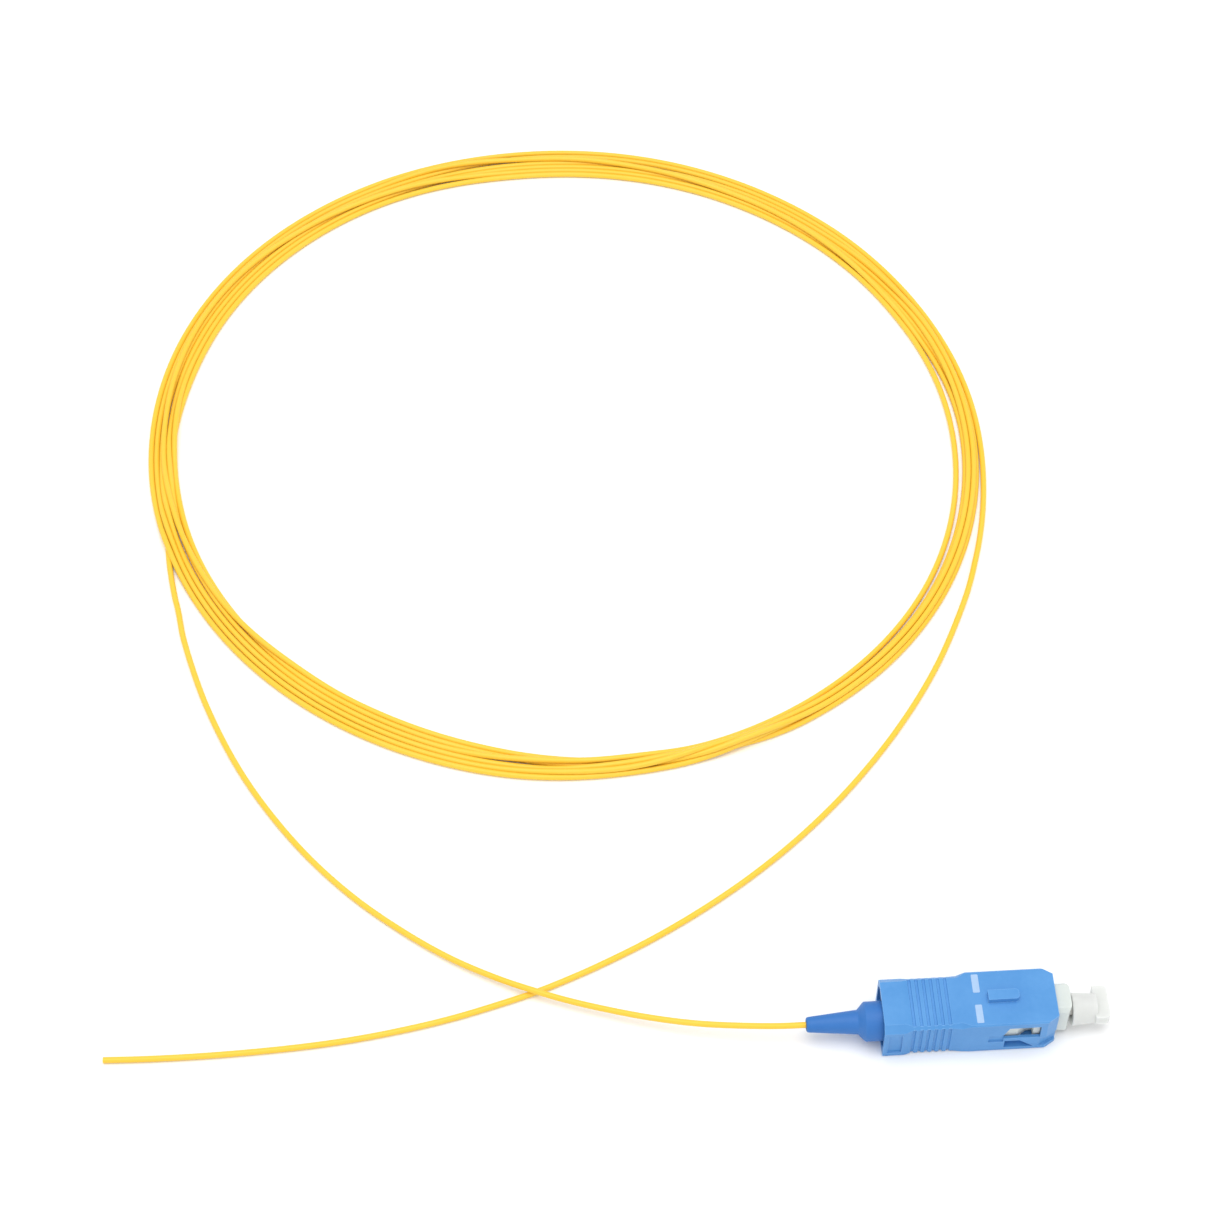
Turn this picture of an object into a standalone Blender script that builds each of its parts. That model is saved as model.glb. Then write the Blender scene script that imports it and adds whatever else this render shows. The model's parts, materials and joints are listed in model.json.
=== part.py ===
"""Simplex fibre optic pigtail: a push-pull plug on one end of a coiled 0.9 mm buffered fibre.

Metres, +Z up. The plug lies along X on the ground plane, its front towards +X, and the origin is
under the middle of the plug, on the ground. Places along the plug are measured from the back of
the grip housing, and plug_x() turns them into X.
"""

import math

import bmesh
import bpy
import numpy as np

# Clearances
FIT_GAP = 0.0002            # between pieces that slide in or seat on each other
BORE_GAP = 0.00015          # round a turned piece in its bore
TOUCH_GAP = 0.0003          # between the fibre's solids and what they meet
BEYOND = 0.001              # how far a cutter reaches past what it cuts

# Fibre
FIBRE_DIAMETER = 0.0009
FLOOR_LIFT = 0.00002        # keeps the fibre's solids just off the ground plane
FIBRE_IN_BOOT = 0.0020      # start of the fibre's solid inside the boot's tip

# Ferrule, its flange and its spring
FERRULE_DIAMETER = 0.0025
FERRULE_LENGTH = 0.0105
FERRULE_OUT = 0.0031        # tip ahead of the plug frame's nose
FERRULE_TIP_CHAMFER = 0.0003
FERRULE_TRAVEL = 0.0008
FLANGE_WALL = 0.0005
FLANGE_LENGTH = 0.0021
FLANGE_BACK = 0.0004        # floor behind the ferrule's seat
SPRING_WIRE = 0.0004
SPRING_TURNS = 7

# Plug frame
NOSE_WALL = 0.00035         # beside the round chamber
NOSE_HEIGHT = 0.0061
NOSE_OUT = 0.0022           # nose ahead of the grip
NOSE_CHAMFER = 0.0005
NOSE_FACET_LENGTH = 0.0005
NOSE_FACET_DEPTH = 0.0009
STOP_RING = 0.0005          # collar that the flange rests against
STOP_RING_DEPTH = 0.0052    # from the nose's front to that collar
BARREL_CHAMFER = 0.0009
BARREL_OVERLAP = 0.0005     # of the barrel and the nose
WING_REACH = 0.00145        # latch wings beside the nose
WING_LENGTH = 0.0055
WING_BOTTOM = -0.0011       # from the plug's axis
LATCH_POCKET = 0.0022
LATCH_POCKET_DEPTH = 0.00095
LATCH_POST = 0.0010
LATCH_POST_GAP = 0.0003

# Grip housing
GRIP_LENGTH = 0.0250
GRIP_ROOF = 0.00045         # above and below the nose
GRIP_SKIN = 0.00045         # beside the latch wings
GRIP_WALL = 0.0008          # round the middle cavity
MOUTH_WALL = 0.0006         # round the rear mouth
MOUTH_DEPTH = 0.0039
FRONT_WALL = 0.0022
GRIP_EDGE = 0.0002
GRIP_FACET_LENGTH = 0.00165
GRIP_FACET_DEPTH = 0.00105
GRIP_TRAVEL = 0.0020
WING_ROOM = 0.0004          # above the latch wings
TAIL_LENGTH = 0.0111        # rear part, its upper edges chamfered
TAIL_CHAMFER = 0.0010
SHOULDER_LENGTH = 0.0016
CAVITY_CHAMFER = 0.00105
WAIST_BACK = 0.0030
WAIST_SLOPE = 0.0010
WAIST_FRONT = 0.0101
WAIST_EASE = 0.0024
WAIST_DEPTH = 0.00025
RIB_BACK = 0.00425          # middle of the first groove
RIB_DEPTH = 0.00022
RIB_PITCH = 0.00103
RIB_GAP = 0.00053
RIB_GAP_FLOOR = 0.00026
RIB_COUNT = 6
RIB_RUNOUT = 0.0003         # of the grooves onto the chamfers
KEY_LENGTH = 0.00445
KEY_WIDTH = 0.0016
KEY_HEIGHT = 0.00095
KEY_BACK = 0.01515
KEY_CORNER = 0.0005

# Shallow recess on the grip's near side, heights measured from the plug's axis
RECESS_LENGTH = 0.0020
RECESS_BACK = 0.00065
RECESS_DEPTH = 0.00025
RECESS_SILL = -0.0028
RECESS_TOP = 0.00205

# Openings in the grip's two sides, heights measured from the plug's axis
WINDOW_LENGTH = 0.0053
WINDOW_FRAME = 0.0003       # skin left ahead of the window
WINDOW_TOP_MARGIN = 0.0012
WINDOW_SILL = -0.0003
WINDOW_SLANT = 0.0007
SLOT_LENGTH = 0.00215
SLOT_TOP = 0.00066
SLOT_SILL = -0.00125
SLOT_DEPTH = 0.00025
SLIT_HEIGHT = 0.00026       # open strip along the slot's top
SLIT_OVERLAP = 0.00005
CHANNEL_BACK = 0.01745
CHANNEL_TOP = -0.00103
CHANNEL_MARGIN = 0.00075
CHANNEL_LENGTH = 0.00215    # along its top
CHANNEL_RUNOUT = 0.0022     # its bottom reaches further
CHANNEL_DEPTH = 0.0012
RAMP_LENGTH = 0.0027        # recess that deepens towards the front
RAMP_DEPTH = 0.00135
RAMP_TOP = -0.0004

# Boot and rear body
BOOT_TAPER = 0.0074
BOOT_CONE = 0.0010
COLLAR_SHOWN = 0.0024
COLLAR_IN = 0.0036
COLLAR_GAP = 0.000225
BOOT_TIP_WALL = 0.00035
BOOT_NECK = 0.00355
BOOT_ASIDE = 0.0007         # the loose boot lies towards the near side
BOOT_TIP_ROUND = 0.0003
REAR_TUBE_WALL = 0.0005
REAR_TUBE_BACK = -0.0018
REAR_FLANGE = 0.0005
REAR_FLANGE_REACH = 0.0006
REAR_STUB = 0.0037

# Dust cap
CAP_SEAT_GAP = 0.0003
CAP_TUBE_LENGTH = 0.0033
CAP_WALL = 0.001
CAP_TAPER = 0.0003
CAP_ASIDE = 0.00035         # its tube is thicker on the near, lower side
CAP_BELOW = 0.00025
CAP_HEAD_LENGTH = 0.0021
CAP_HEAD_OVERLAP = 0.0003
CAP_HEAD_WIDTH = 0.0053
CAP_HEAD_THICKNESS = 0.0019
CAP_HEAD_ROUND = 0.0006
CAP_TIP_GAP = 0.0003

# Coil: an oval ring, its short axis turned from +X
COIL_CENTRE = (-0.0506, 0.1115)
COIL_OUTER = 0.0686
COIL_STRANDS = 6
COIL_HEIGHT = 0.0017
COIL_OVAL = 0.961
COIL_TURN = math.radians(68.5)

# Roundness of turned pieces
ROUND = 32
COIL_ROUND = 72

# Sizes that follow from those above
FIBRE_BORE = FIBRE_DIAMETER + 2 * TOUCH_GAP
FLANGE_DIAMETER = FERRULE_DIAMETER + 2 * (BORE_GAP + FLANGE_WALL)
CHAMBER_DIAMETER = FLANGE_DIAMETER + 2 * BORE_GAP
STOP_BORE = FERRULE_DIAMETER + 4 * BORE_GAP
NOSE_WIDTH = CHAMBER_DIAMETER + 2 * NOSE_WALL
WING_WIDTH = NOSE_WIDTH + 2 * WING_REACH
GRIP_WIDTH = WING_WIDTH + 2 * (FIT_GAP + GRIP_SKIN)
GRIP_HEIGHT = NOSE_HEIGHT + 2 * (FIT_GAP + GRIP_ROOF)
AXIS_Z = GRIP_HEIGHT / 2
REAR_TUBE_DIAMETER = FIBRE_BORE + 2 * REAR_TUBE_WALL
COLLAR_DIAMETER = GRIP_HEIGHT - 2 * (MOUTH_WALL + COLLAR_GAP)
BOOT_TIP = FIBRE_BORE + 2 * BOOT_TIP_WALL
CAP_BORE = FERRULE_DIAMETER + 2 * BORE_GAP

# Places along the plug, from the back of the grip
BOOT_BACK = -(COLLAR_SHOWN + BOOT_CONE + BOOT_TAPER)
NOSE_FRONT = GRIP_LENGTH + NOSE_OUT
CAP_BACK = NOSE_FRONT + CAP_SEAT_GAP
CAP_FRONT = CAP_BACK + CAP_TUBE_LENGTH + CAP_HEAD_LENGTH
CAVITY_FRONT = GRIP_LENGTH - FRONT_WALL
POST_FRONT = CAVITY_FRONT - LATCH_POST_GAP
WING_TOP = GRIP_HEIGHT / 2 - WINDOW_TOP_MARGIN - TOUCH_GAP
WING_BACK = POST_FRONT - LATCH_POST - LATCH_POCKET - WING_LENGTH
CAVITY_BACK = WING_BACK - GRIP_TRAVEL - TOUCH_GAP
NOSE_BACK = CAVITY_BACK + GRIP_TRAVEL + FIT_GAP
BARREL_FRONT = NOSE_BACK + BARREL_OVERLAP
MIDDLE_FRONT = BARREL_FRONT + TOUCH_GAP
STOP_FACE = NOSE_FRONT - STOP_RING_DEPTH - STOP_RING
FLANGE_FRONT = STOP_FACE - FIT_GAP
FLANGE_REAR = FLANGE_FRONT - FLANGE_LENGTH
FERRULE_TIP = NOSE_FRONT + FERRULE_OUT
SPRING_FRONT = FLANGE_REAR - FERRULE_TRAVEL - BORE_GAP
REAR_FLANGE_BACK = COLLAR_IN + FIT_GAP
BARREL_BACK = REAR_FLANGE_BACK + REAR_FLANGE + FIT_GAP
REAR_STUB_FRONT = BARREL_BACK + REAR_STUB
SPRING_BACK = REAR_STUB_FRONT + BORE_GAP
WINDOW_FRONT = CAVITY_FRONT - WINDOW_FRAME
WINDOW_BACK = WINDOW_FRONT - WINDOW_LENGTH
SLOT_BACK = WINDOW_BACK - SLOT_LENGTH
PLUG_MIDDLE = (BOOT_BACK + CAP_FRONT) / 2

# Fibre routes: points on its centre line, chosen by hand
ON_FLOOR = FIBRE_DIAMETER / 2 + FLOOR_LIFT
CROSSING = ON_FLOOR + FIBRE_DIAMETER + TOUCH_GAP


def plug_x(place):
    return place - PLUG_MIDDLE


LEAD_ROUTE = [
    (plug_x(BOOT_BACK) + FIBRE_IN_BOOT, -BOOT_ASIDE, AXIS_Z),
    (plug_x(BOOT_BACK), -BOOT_ASIDE, AXIS_Z),
    (-0.0250, -0.0006, 0.00355),
    (-0.0290, -0.0002, 0.00325),
    (-0.0370, 0.0010, 0.00265),
    (-0.0440, 0.0027, 0.00215),
    (-0.0511, 0.0049, 0.00180),
    (-0.0568, 0.0069, CROSSING),
    (-0.0609, 0.0086, CROSSING),
    (-0.0654, 0.0108, 0.00135),
    (-0.0726, 0.0151, 0.00085),
    (-0.0799, 0.0206, 0.00058),
    (-0.0872, 0.0272, ON_FLOOR),
    (-0.0949, 0.0362, ON_FLOOR),
    (-0.1028, 0.0487, ON_FLOOR),
    (-0.1088, 0.0625, ON_FLOOR),
    (-0.1125, 0.0753, ON_FLOOR),
    (-0.1142, 0.0843, ON_FLOOR),
]
TAIL_ROUTE = [
    (0.0155, 0.0896, ON_FLOOR),
    (0.0112, 0.0759, ON_FLOOR),
    (0.0053, 0.0635, ON_FLOOR),
    (-0.0021, 0.0520, ON_FLOOR),
    (-0.0108, 0.0414, ON_FLOOR),
    (-0.0192, 0.0331, ON_FLOOR),
    (-0.0273, 0.0265, ON_FLOOR),
    (-0.0352, 0.0211, ON_FLOOR),
    (-0.0429, 0.0166, ON_FLOOR),
    (-0.0506, 0.0128, ON_FLOOR),
    (-0.0552, 0.0108, ON_FLOOR),
    (-0.0601, 0.0089, ON_FLOOR),
    (-0.0655, 0.0072, ON_FLOOR),
    (-0.0728, 0.0052, ON_FLOOR),
    (-0.0801, 0.0037, ON_FLOOR),
    (-0.0873, 0.0026, ON_FLOOR),
    (-0.0946, 0.0019, ON_FLOOR),
    (-0.1018, 0.0015, ON_FLOOR),
    (-0.1089, 0.0013, ON_FLOOR),
    (-0.1161, 0.0013, ON_FLOOR),
    (-0.1228, 0.0015, ON_FLOOR),
]
LEAD_POINTS = 36
TAIL_POINTS = 44


def clear_scene():
    for thing in list(bpy.data.objects):
        bpy.data.objects.remove(thing, do_unlink=True)


def collection(name):
    made = bpy.data.collections.new(name)
    bpy.context.scene.collection.children.link(made)
    return made


def material(name, colour, roughness, metallic=0.0, alpha=1.0):
    made = bpy.data.materials.new(name)
    made.use_nodes = True
    shader = made.node_tree.nodes["Principled BSDF"]
    shader.inputs["Base Color"].default_value = (*colour, 1.0)
    shader.inputs["Roughness"].default_value = roughness
    shader.inputs["Metallic"].default_value = metallic
    shader.inputs["Alpha"].default_value = alpha
    made.diffuse_color = (*colour, alpha)
    return made


clear_scene()
PARTS = collection("fibre_optic_pigtail")
CUTTERS = collection("cutters")
GRIP_BLUE = material("grip_blue", (0.10, 0.32, 0.74), 0.42)
BOOT_BLUE = material("boot_blue", (0.06, 0.20, 0.58), 0.55)
FRAME_WHITE = material("frame_white", (0.80, 0.82, 0.78), 0.45)
CAP_CLEAR = material("cap_clear", (0.78, 0.80, 0.78), 0.35, alpha=0.85)
CERAMIC = material("ferrule_ceramic", (0.88, 0.87, 0.82), 0.15)
NICKEL = material("nickel", (0.62, 0.61, 0.58), 0.3, metallic=1.0)
SPRING_STEEL = material("spring_steel", (0.55, 0.55, 0.56), 0.3, metallic=1.0)
FIBRE_YELLOW = material("fibre_yellow", (0.90, 0.62, 0.09), 0.4)


def place(name, mesh, finish=None, centre=(0, 0, 0), turn=(0, 0, 0)):
    """A part when it has a finish, and otherwise a hidden cutter."""
    thing = bpy.data.objects.new(name, mesh)
    thing.location = centre
    thing.rotation_euler = turn
    if finish is None:
        CUTTERS.objects.link(thing)
        thing.hide_render = True
        thing.display_type = "WIRE"
    else:
        PARTS.objects.link(thing)
        if not mesh.materials:
            mesh.materials.append(finish)
    return thing


def bar(name, back, front, width, height, chamfer, finish=None):
    """A box along the plug's axis, its four long edges chamfered."""
    bm = bmesh.new()
    bmesh.ops.create_cube(bm, size=1.0)
    bmesh.ops.scale(bm, vec=(front - back, width, height), verts=bm.verts)
    long_edges = [e for e in bm.edges if abs((e.verts[0].co - e.verts[1].co).x) > 1e-6]
    if chamfer:
        bmesh.ops.bevel(bm, geom=long_edges, offset=chamfer, segments=1, affect="EDGES")
    mesh = bpy.data.meshes.new(name)
    bm.to_mesh(mesh)
    bm.free()
    return place(name, mesh, finish, (plug_x((back + front) / 2), 0, AXIS_Z))


def turned(name, profile, finish=None, steps=ROUND, aside=0.0, below=0.0):
    """A profile of (place along the plug, radius), front to back on the outer side, turned about the axis.

    The axis is the plug's own, or one that lies aside of it, towards the near side, and below it.
    """
    mesh = bpy.data.meshes.new(name)
    points = [(radius, 0.0, plug_x(along)) for along, radius in profile]
    closed = profile[0][1] > 0
    edges = [(i, i + 1) for i in range(len(points) - 1)] + ([(len(points) - 1, 0)] if closed else [])
    mesh.from_pydata(points, edges, [])
    thing = place(name, mesh, finish, (0, -aside, AXIS_Z - below), (0, math.radians(90), 0))
    screw = thing.modifiers.new("Turn", "SCREW")
    screw.axis = "Z"
    screw.steps = steps
    screw.render_steps = steps
    screw.use_merge_vertices = True
    screw.merge_threshold = 1e-6
    screw.use_smooth_shade = True
    return thing


def flat_outline(name, outline, half_thickness, centre, turn):
    """A closed 2D outline given a thickness, as a mesh that can cut. It is filled in millimetres."""
    scale = 1000
    curve = bpy.data.curves.new(name, "CURVE")
    curve.dimensions = "2D"
    curve.fill_mode = "BOTH"
    curve.extrude = half_thickness * scale
    spline = curve.splines.new("POLY")
    spline.points.add(len(outline) - 1)
    for point, (along, out) in zip(spline.points, outline):
        point.co = (along * scale, out * scale, 0.0, 1.0)
    spline.use_cyclic_u = True
    drawn = bpy.data.objects.new(name, curve)
    CUTTERS.objects.link(drawn)
    bpy.context.view_layer.update()
    mesh = bpy.data.meshes.new_from_object(drawn.evaluated_get(bpy.context.evaluated_depsgraph_get()))
    bpy.data.objects.remove(drawn, do_unlink=True)
    bpy.data.curves.remove(curve)
    bm = bmesh.new()
    bm.from_mesh(mesh)
    bmesh.ops.remove_doubles(bm, verts=bm.verts, dist=1e-4)
    bmesh.ops.scale(bm, vec=(1 / scale, 1 / scale, 1 / scale), verts=bm.verts)
    bmesh.ops.recalc_face_normals(bm, faces=bm.faces)
    bm.to_mesh(mesh)
    bm.free()
    return place(name, mesh, None, centre, turn)


def outward_cutter(name, outline, half_width, degrees, below=0.0):
    """An outline of (place along the plug, distance from the axis), turned about the axis from +Y."""
    points = [(plug_x(along), out) for along, out in outline]
    return flat_outline(name, points, half_width, (0, 0, AXIS_Z - below), (math.radians(degrees), 0, 0))


def side_cutter(name, outline, inner, outer, side):
    """An outline of (place along the plug, height from the axis), cut through a side wall."""
    points = [(plug_x(along), height) for along, height in outline]
    middle = side * (inner + outer) / 2
    return flat_outline(name, points, (outer - inner) / 2, (0, middle, AXIS_Z), (math.radians(90), 0, 0))


def boolean(thing, other, operation):
    step = thing.modifiers.new(f"{operation.title()} {other.name}", "BOOLEAN")
    step.operation = operation
    step.solver = "EXACT"
    step.object = other


def corner_arc(centre, radius, start, end, steps=4):
    angles = [math.radians(start + (end - start) * i / steps) for i in range(steps + 1)]
    return [(centre[0] + radius * math.cos(a), centre[1] + radius * math.sin(a)) for a in angles]


def front_cut(front, face, length, depth):
    """The outline that cuts a corner off between a front and a face, a length back and a depth in."""
    return [
        (front - 2 * length, face + depth),
        (front + length, face - 2 * depth),
        (front + length, face + depth),
    ]


def grip_housing():
    """The outer housing: waisted and ribbed behind, square in front, hollow from end to end."""
    grip = bar("grip_housing", 0, GRIP_LENGTH, GRIP_WIDTH, GRIP_HEIGHT, GRIP_EDGE, GRIP_BLUE)
    shape_tail(grip)
    for side, degrees in (("far", 0), ("near", 180)):
        facet = front_cut(GRIP_LENGTH, GRIP_WIDTH / 2, GRIP_FACET_LENGTH, GRIP_FACET_DEPTH)
        boolean(grip, outward_cutter(f"facet_{side}", facet, GRIP_HEIGHT, degrees), "DIFFERENCE")
    boolean(grip, key(), "UNION")
    hollow_grip(grip)
    open_sides(grip)
    return grip


def shape_tail(grip):
    """The rear part: chamfered upper edges, a waist all round, and grooves that leave ribs."""
    corner = (GRIP_WIDTH + GRIP_HEIGHT) / 2 / math.sqrt(2)
    chamfered = corner - TAIL_CHAMFER / math.sqrt(2)
    outline = [
        (-BEYOND, chamfered),
        (TAIL_LENGTH, chamfered),
        (TAIL_LENGTH + SHOULDER_LENGTH, corner),
        (TAIL_LENGTH + SHOULDER_LENGTH, corner + BEYOND),
        (-BEYOND, corner + BEYOND),
    ]
    for side, degrees in (("far", 45), ("near", 135)):
        boolean(grip, outward_cutter(f"corner_{side}", outline, GRIP_HEIGHT, degrees), "DIFFERENCE")
    half_top = GRIP_WIDTH / 2 - TAIL_CHAMFER + RIB_RUNOUT
    half_side = GRIP_HEIGHT / 2
    drop = TAIL_CHAMFER - RIB_RUNOUT
    faces = [
        ("top", 90, GRIP_HEIGHT / 2, half_top, 0),
        ("bottom", -90, GRIP_HEIGHT / 2, half_top, 0),
        ("far", 0, GRIP_WIDTH / 2, half_side, drop),
        ("near", 180, GRIP_WIDTH / 2, half_side, drop),
    ]
    for face, degrees, out, half, below in faces:
        waist = outward_cutter(f"waist_{face}", waist_outline(out), GRIP_WIDTH, degrees)
        boolean(grip, waist, "DIFFERENCE")
        grooves = outward_cutter(f"grooves_{face}", groove_outline(out), half, degrees, below)
        repeat = grooves.modifiers.new("Repeat", "ARRAY")
        repeat.count = RIB_COUNT
        repeat.use_relative_offset = False
        repeat.use_constant_offset = True
        repeat.constant_offset_displace = (RIB_PITCH, 0, 0)
        boolean(grip, grooves, "DIFFERENCE")


def waist_outline(face):
    """The waist's section: a shallow floor, a short slope behind it and a long one ahead."""
    return [
        (WAIST_BACK - WAIST_SLOPE, face + WAIST_DEPTH),
        (WAIST_BACK + WAIST_SLOPE, face - WAIST_DEPTH),
        (WAIST_FRONT, face - WAIST_DEPTH),
        (WAIST_FRONT + 2 * WAIST_EASE, face + WAIST_DEPTH),
    ]


def groove_outline(face):
    """The section of the first groove between two ribs, cut into the waist's floor."""
    floor = face - WAIST_DEPTH - RIB_DEPTH
    half_floor = RIB_GAP_FLOOR / 2
    half_above = half_floor + 1.5 * (RIB_GAP / 2 - half_floor)
    return [
        (RIB_BACK - half_above, floor + 1.5 * RIB_DEPTH),
        (RIB_BACK - half_floor, floor),
        (RIB_BACK + half_floor, floor),
        (RIB_BACK + half_above, floor + 1.5 * RIB_DEPTH),
    ]


def hollow_grip(grip):
    """The rear mouth, the barrel's cavity, the room for the wings, and the bore for the nose."""
    mouth = bar(
        "rear_mouth", -BEYOND, MOUTH_DEPTH, GRIP_WIDTH - 2 * MOUTH_WALL,
        GRIP_HEIGHT - 2 * MOUTH_WALL, CAVITY_CHAMFER,
    )
    middle = bar(
        "middle_cavity", MOUTH_DEPTH - BEYOND, MIDDLE_FRONT, GRIP_WIDTH - 2 * GRIP_WALL,
        GRIP_HEIGHT - 2 * GRIP_WALL, CAVITY_CHAMFER,
    )
    nose = bar(
        "nose_bore", CAVITY_BACK, GRIP_LENGTH + BEYOND, NOSE_WIDTH + 2 * FIT_GAP,
        NOSE_HEIGHT + 2 * FIT_GAP, 0,
    )
    low = WING_BOTTOM - FIT_GAP
    high = WING_TOP + WING_ROOM
    wings = bar("wing_room", CAVITY_BACK, CAVITY_FRONT, GRIP_WIDTH - 2 * GRIP_SKIN, high - low, 0)
    wings.location.z += (low + high) / 2
    for hollow in (mouth, middle, nose, wings):
        boolean(grip, hollow, "DIFFERENCE")


def open_sides(grip):
    """The latch window, the slot, the channel and the ramp of each side, and the recess of the near one."""
    face = GRIP_WIDTH / 2
    outside = face + BEYOND
    bottom = -GRIP_HEIGHT / 2 + CHANNEL_MARGIN
    ramp = front_cut(GRIP_LENGTH, face, RAMP_LENGTH, RAMP_DEPTH)
    middle = (RAMP_TOP + bottom) / 2
    for side, sign, degrees in (("near", -1, 180), ("far", 1, 0)):
        skin = face - GRIP_SKIN - FIT_GAP
        cutters = [
            side_cutter(f"window_{side}", window_outline(), skin, outside, sign),
            side_cutter(f"slot_{side}", slot_outline(), face - SLOT_DEPTH, outside, sign),
            side_cutter(f"channel_{side}", channel_outline(bottom), face - CHANNEL_DEPTH, outside, sign),
            outward_cutter(f"ramp_{side}", ramp, (RAMP_TOP - bottom) / 2, degrees, -middle),
        ]
        for cutter in cutters:
            boolean(grip, cutter, "DIFFERENCE")
    outline = [
        (RECESS_BACK, RECESS_SILL),
        (RECESS_BACK + RECESS_LENGTH, RECESS_SILL),
        (RECESS_BACK + RECESS_LENGTH, RECESS_TOP),
        (RECESS_BACK, RECESS_TOP),
    ]
    boolean(grip, side_cutter("recess_near", outline, face - RECESS_DEPTH, outside, -1), "DIFFERENCE")


def window_outline():
    """The latch window, with a narrow slit behind it along the slot's top."""
    top = GRIP_HEIGHT / 2 - WINDOW_TOP_MARGIN
    return [
        (WINDOW_BACK, WINDOW_SILL),
        (WINDOW_FRONT, WINDOW_SILL),
        (WINDOW_FRONT, top),
        (WINDOW_BACK + WINDOW_SLANT, top),
        (WINDOW_BACK, SLOT_TOP),
        (SLOT_BACK, SLOT_TOP),
        (SLOT_BACK, SLOT_TOP - SLIT_HEIGHT),
        (WINDOW_BACK, SLOT_TOP - SLIT_HEIGHT),
    ]


def slot_outline():
    """The blind slot behind the window, below the slit."""
    front = WINDOW_BACK + SLIT_OVERLAP
    top = SLOT_TOP - SLIT_HEIGHT + SLIT_OVERLAP
    return [(SLOT_BACK, SLOT_SILL), (front, SLOT_SILL), (front, top), (SLOT_BACK, top)]


def channel_outline(bottom):
    """The deep channel under the window, its front end sloped."""
    front = CHANNEL_BACK + CHANNEL_LENGTH
    return [
        (CHANNEL_BACK, bottom),
        (front + CHANNEL_RUNOUT, bottom),
        (front, CHANNEL_TOP),
        (CHANNEL_BACK, CHANNEL_TOP),
    ]


def key():
    """The key: square behind, its front corners rounded."""
    half = KEY_WIDTH / 2
    front = plug_x(KEY_BACK + KEY_LENGTH)
    back = plug_x(KEY_BACK)
    outline = [(back, -half)]
    outline += corner_arc((front - KEY_CORNER, -half + KEY_CORNER), KEY_CORNER, -90, 0)
    outline += corner_arc((front - KEY_CORNER, half - KEY_CORNER), KEY_CORNER, 0, 90)
    outline += [(back, half)]
    foot = GRIP_ROOF / 2
    height = KEY_HEIGHT + foot
    middle = GRIP_HEIGHT - foot + height / 2
    return flat_outline("key", outline, height / 2, (0, 0, middle), (0, 0, 0))


def plug_frame():
    """The inner frame: a barrel behind, the nose in front, a latch wing on each side, bored through."""
    frame = bar(
        "plug_frame", NOSE_BACK, NOSE_FRONT, NOSE_WIDTH, NOSE_HEIGHT, NOSE_CHAMFER, FRAME_WHITE,
    )
    for side, degrees in (("far", 0), ("near", 180)):
        facet = front_cut(NOSE_FRONT, NOSE_WIDTH / 2, NOSE_FACET_LENGTH, NOSE_FACET_DEPTH)
        boolean(frame, outward_cutter(f"nose_{side}", facet, NOSE_HEIGHT, degrees), "DIFFERENCE")
    barrel = bar(
        "barrel", BARREL_BACK, BARREL_FRONT, GRIP_WIDTH - 2 * (GRIP_WALL + FIT_GAP),
        GRIP_HEIGHT - 2 * (GRIP_WALL + FIT_GAP), BARREL_CHAMFER,
    )
    boolean(frame, barrel, "UNION")
    middle = AXIS_Z + (WING_TOP + WING_BOTTOM) / 2
    for side, sign in (("near", -1), ("far", 1)):
        outline = [(plug_x(along), sign * out) for along, out in wing_outline()]
        wing = flat_outline(f"wing_{side}", outline, (WING_TOP - WING_BOTTOM) / 2, (0, 0, middle), (0, 0, 0))
        boolean(frame, wing, "UNION")
    chamber = turned("chamber", [
        (STOP_FACE, 0), (STOP_FACE, CHAMBER_DIAMETER / 2),
        (BARREL_BACK - BEYOND, CHAMBER_DIAMETER / 2), (BARREL_BACK - BEYOND, 0),
    ])
    stop = turned("stop_bore", [
        (NOSE_FRONT, 0), (NOSE_FRONT, STOP_BORE / 2),
        (STOP_FACE - BEYOND, STOP_BORE / 2), (STOP_FACE - BEYOND, 0),
    ])
    front = turned("cap_seat", [
        (NOSE_FRONT + BEYOND, 0), (NOSE_FRONT + BEYOND, CHAMBER_DIAMETER / 2),
        (NOSE_FRONT - STOP_RING_DEPTH, CHAMBER_DIAMETER / 2), (NOSE_FRONT - STOP_RING_DEPTH, 0),
    ])
    for bore in (chamber, stop, front):
        boolean(frame, bore, "DIFFERENCE")
    return frame


def wing_outline():
    """A latch wing in plan: a flat pad, a ramp down into the latch pocket, and the post ahead of it."""
    root = NOSE_WIDTH / 2 - NOSE_WALL / 2
    reach = WING_WIDTH / 2
    post = POST_FRONT - LATCH_POST
    pocket = reach - LATCH_POCKET_DEPTH
    return [
        (WING_BACK, root),
        (POST_FRONT, root),
        (POST_FRONT, reach),
        (post, reach),
        (post, pocket),
        (post - LATCH_POCKET / 3, pocket),
        (post - LATCH_POCKET, reach),
        (WING_BACK, reach),
    ]


def ferrule():
    radius = FERRULE_DIAMETER / 2
    return turned("ferrule", [
        (FERRULE_TIP, 0),
        (FERRULE_TIP, radius - FERRULE_TIP_CHAMFER),
        (FERRULE_TIP - FERRULE_TIP_CHAMFER, radius),
        (FERRULE_TIP - FERRULE_LENGTH, radius),
        (FERRULE_TIP - FERRULE_LENGTH, 0),
    ], CERAMIC)


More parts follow.
